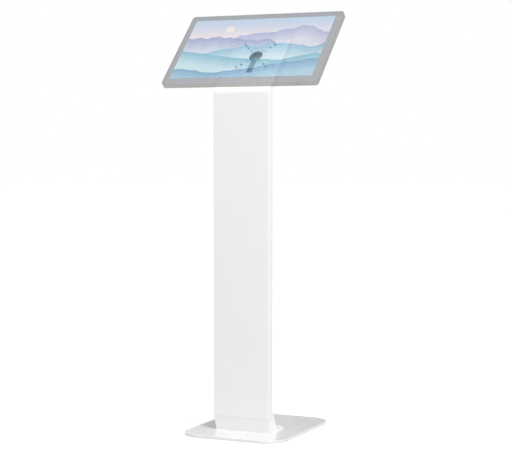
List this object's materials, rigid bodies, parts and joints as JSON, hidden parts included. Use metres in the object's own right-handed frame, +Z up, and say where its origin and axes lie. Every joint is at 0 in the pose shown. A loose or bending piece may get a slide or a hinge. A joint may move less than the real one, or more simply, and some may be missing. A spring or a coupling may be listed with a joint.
{
  "type": "floor stand",
  "caption": "Floor stand with a flat base, a slim folded steel column and a sloping touch display on a screw plate with a keyhole for cables.",
  "frame": {"origin": "on the floor under the middle of the base plate", "axes": "+Z up, -Y towards the person at the display, +X to that person's right"},
  "size_m": [0.52, 0.428, 1.3019],
  "materials": {
    "powder_white": "fine satin powder coat",
    "zinc_steel": "zinc plated",
    "dark_steel": "black oxide",
    "lock_chrome": "polished",
    "pad_rubber": "matt",
    "clip_nylon": "matt",
    "insert_brass": "turned",
    "housing_plastic": "fine texture",
    "port_plastic": "smooth",
    "button_plastic": "smooth",
    "board_laminate": "lacquered",
    "screen_panel": "picture on a lit panel",
    "display_glass": "clear, with a dark printed border"
  },
  "bodies": {
    "stand": {"base_plate": "powder_white", "base_pads": "pad_rubber", "foot_flange": "powder_white", "foot_bolts": "zinc_steel", "foot_washers": "zinc_steel", "column_shell": "powder_white", "head_stiffener": "powder_white", "rear_cover": "powder_white", "rear_cover_screws": "zinc_steel", "head_cover": "powder_white", "head_cover_screws": "zinc_steel", "column_hinge_leaves": "zinc_steel", "hinge_pins": "zinc_steel", "cable_clips": "clip_nylon", "display_washers": "dark_steel", "display_screws": "dark_steel", "display_inserts": "insert_brass", "display_housing": "housing_plastic", "display_ports": "port_plastic", "display_board": "board_laminate", "display_panel": "screen_panel", "cover_glass": "display_glass", "button_switch": "port_plastic"},
    "door": {"service_door": "powder_white", "door_hinge_leaves": "zinc_steel", "lock_housing": "lock_chrome", "lock_nut": "zinc_steel"},
    "lock": {"lock_plug": "lock_chrome", "lock_cam": "zinc_steel"},
    "button": {"power_button": "button_plastic"}
  },
  "joints": [
    {"name": "door_swing", "type": "hinge", "parent": "stand", "child": "door", "pos_m": [-0.081, -0.0835, 0.331], "axis": [0, 0, 1], "range_deg": [0, 110]},
    {"name": "lock_turn", "type": "hinge", "parent": "door", "child": "lock", "pos_m": [0.066, -0.0868, 0.331], "axis": [0, 1, 0], "range_deg": [0, 90]},
    {"name": "button_press", "type": "slide", "parent": "stand", "child": "button", "axis": [0, 0.7071, 0.7071], "range_m": [0, 0.0008], "stiffness_N_per_m": 1000, "springref_m": -0.0005}
  ]
}
